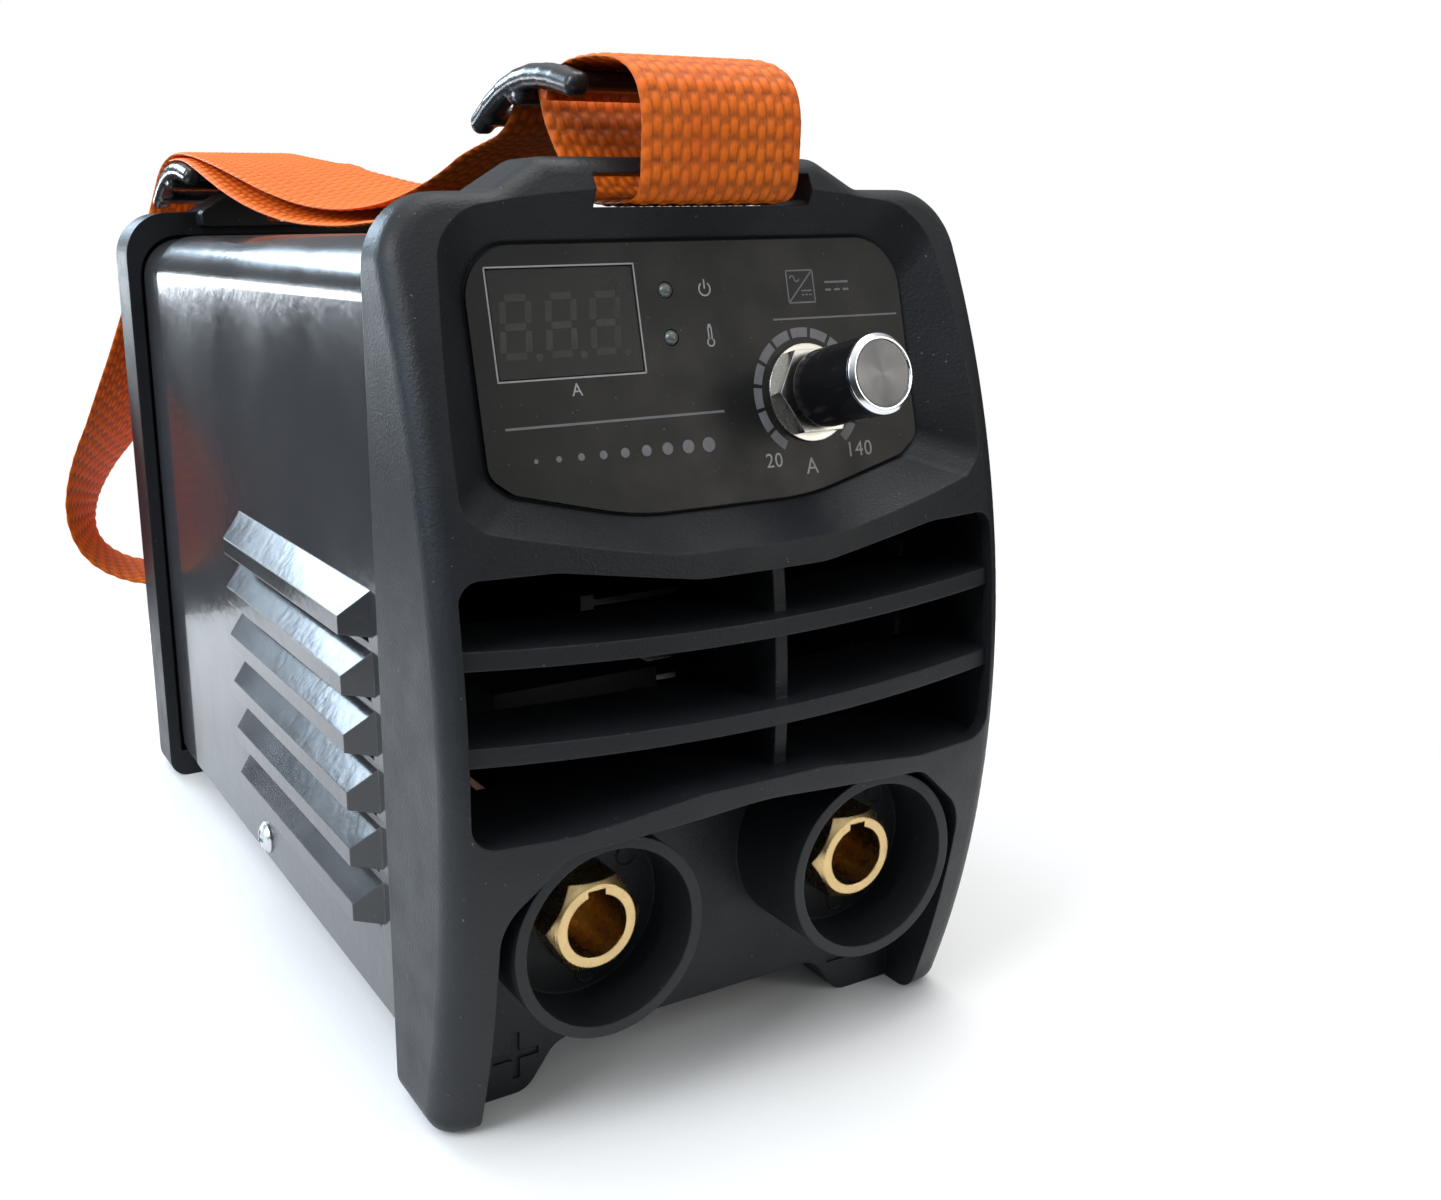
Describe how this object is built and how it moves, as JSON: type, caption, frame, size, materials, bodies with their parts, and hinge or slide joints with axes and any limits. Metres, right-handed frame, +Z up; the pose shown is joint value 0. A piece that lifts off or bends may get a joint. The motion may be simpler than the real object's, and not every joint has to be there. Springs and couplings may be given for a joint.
{
  "type": "stick welding inverter",
  "caption": "Portable stick welding inverter: bulging plastic front with dial, readout and twist-lock output sockets, louvred steel cover, fan, mains inlet and webbing strap.",
  "frame": {"origin": "on the surface the feet stand on, under the middle of the case with its knob and cable gland", "axes": "+X right as one faces the controls, +Y from the controls to the rear panel, +Z up"},
  "size_m": [0.144, 0.289, 0.2006],
  "materials": {
    "panel_plastic": "fine grained, dark blue-grey",
    "cover_paint": "gloss dark grey",
    "base_steel": "satin black",
    "label_film": "printed film",
    "display_black": "black",
    "digit_plastic": "milky grey, unlit",
    "display_film": "smoked",
    "lamp_lens": "diffused, unlit",
    "board_green": "solder mask",
    "nylon_black": "moulded",
    "knob_black": "polished",
    "knob_silver": "turned",
    "knob_dark": "spun, dark anodised",
    "nickel": "plated",
    "zinc_steel": "zinc plated",
    "brass": "machined",
    "copper": "bare copper",
    "sink_aluminium": "extruded",
    "epoxy_black": "moulded epoxy",
    "capacitor_sleeve": "dark blue sleeve",
    "ferrite": "sintered",
    "relay_case": "blue",
    "fan_plastic": "moulded",
    "switch_black": "satin",
    "rocker_red": "satin",
    "gland_nylon": "nylon",
    "seal_rubber": "soft",
    "webbing": "woven polypropylene webbing",
    "buckle_plastic": "moulded"
  },
  "bodies": {
    "housing": {"front_bezel": "panel_plastic", "front_grille": "panel_plastic", "control_label": "label_film", "display_module": "display_black", "display_digits": "digit_plastic", "display_lens": "display_film", "power_light": "lamp_lens", "overload_light": "lamp_lens", "control_board": "board_green", "control_board_spacers": "nylon_black", "potentiometer_body": "nickel", "potentiometer_washer": "nickel", "potentiometer_nut": "nickel", "socket_positive": "brass", "socket_negative": "brass", "socket_nuts": "zinc_steel", "output_busbars": "copper", "case_cover": "cover_paint", "base_plate": "base_steel", "cover_screws": "zinc_steel", "bezel_screws": "zinc_steel", "rear_panel_screws": "zinc_steel", "rear_panel": "panel_plastic", "fan_frame": "fan_plastic", "fan_guard": "zinc_steel", "fan_screws": "zinc_steel", "power_switch_body": "switch_black", "cable_gland_body": "gland_nylon", "cable_gland_seal": "seal_rubber", "cable_gland_cap": "gland_nylon", "cable_gland_locknut": "gland_nylon", "earth_stud": "zinc_steel", "earth_washer": "zinc_steel", "earth_nut": "zinc_steel", "main_board": "board_green", "board_standoffs": "zinc_steel", "heatsinks": "sink_aluminium", "igbt_transistors": "epoxy_black", "output_diodes": "epoxy_black", "filter_capacitors": "capacitor_sleeve", "transformer_core": "ferrite", "transformer_winding": "copper", "bridge_rectifier": "epoxy_black", "inrush_relay": "relay_case", "output_choke": "ferrite", "strap_front_loop": "webbing", "strap_top_span": "webbing", "strap_hanging_loop": "webbing", "strap_rear_loop": "webbing", "strap_front_buckle": "buckle_plastic", "strap_rear_buckle": "buckle_plastic"},
    "dial": {"knob_body": "knob_black", "knob_ring": "knob_silver", "knob_face": "knob_dark", "potentiometer_shaft": "nickel"},
    "fan": {"fan_rotor": "fan_plastic"},
    "rocker": {"power_switch_rocker": "rocker_red"}
  },
  "joints": [
    {"name": "dial_turn", "type": "hinge", "parent": "housing", "child": "dial", "pos_m": [0.0224, -0.11668, 0.14121], "axis": [0, 0.9681, -0.2504], "range_deg": [0, 300]},
    {"name": "fan_spin", "type": "hinge", "parent": "housing", "child": "fan", "pos_m": [0, 0.09465, 0.062], "axis": [0, 1, 0], "continuous": true},
    {"name": "power_switch_rock", "type": "hinge", "parent": "housing", "child": "rocker", "pos_m": [-0.027, 0.10765, 0.138], "axis": [1, 0, 0], "range_deg": [0, 20]}
  ]
}
